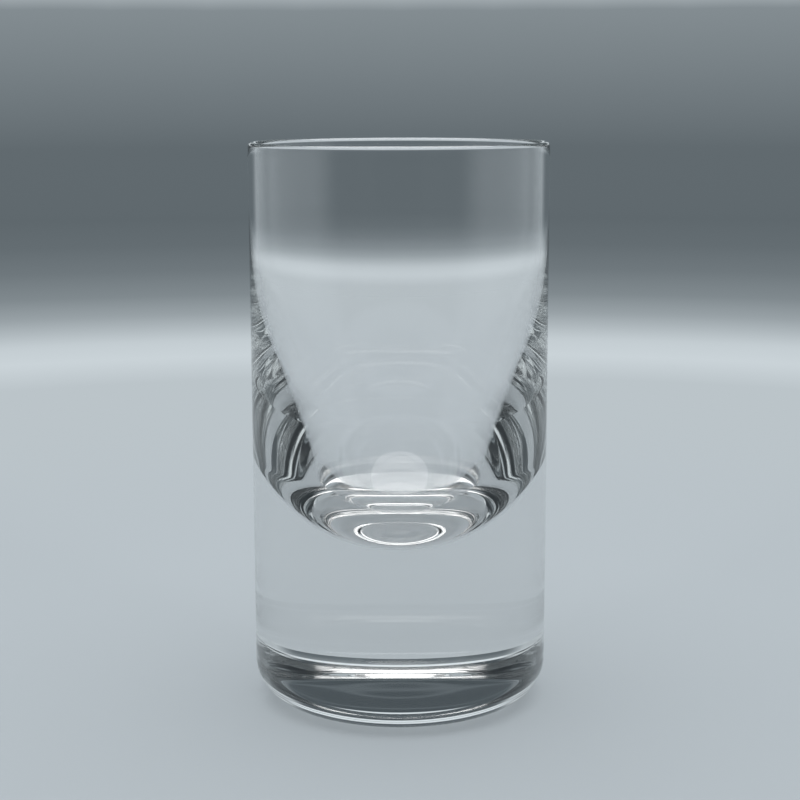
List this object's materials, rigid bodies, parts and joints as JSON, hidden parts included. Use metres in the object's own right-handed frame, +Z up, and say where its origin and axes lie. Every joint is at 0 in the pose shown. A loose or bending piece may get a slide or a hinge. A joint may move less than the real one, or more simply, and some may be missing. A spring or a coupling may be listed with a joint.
{
  "type": "liqueur glass",
  "caption": "Clear straight-sided liqueur glass in one piece, with a rounded bowl over a heavy solid base that stands on a narrow ring.",
  "frame": {"origin": "centre of the standing ring, at the height of the surface that the glass stands on", "axes": "+Z up along the axis of the glass, towards the drinking rim; X and Y are any two directions square to it"},
  "size_m": [0.045, 0.045, 0.0851],
  "materials": {
    "clear_glass": "fire-polished clear glass, smooth all over, colourless with a faint cool tint in the thick base"
  },
  "bodies": {
    "root": {"glass_body": "clear_glass"}
  },
  "joints": []
}
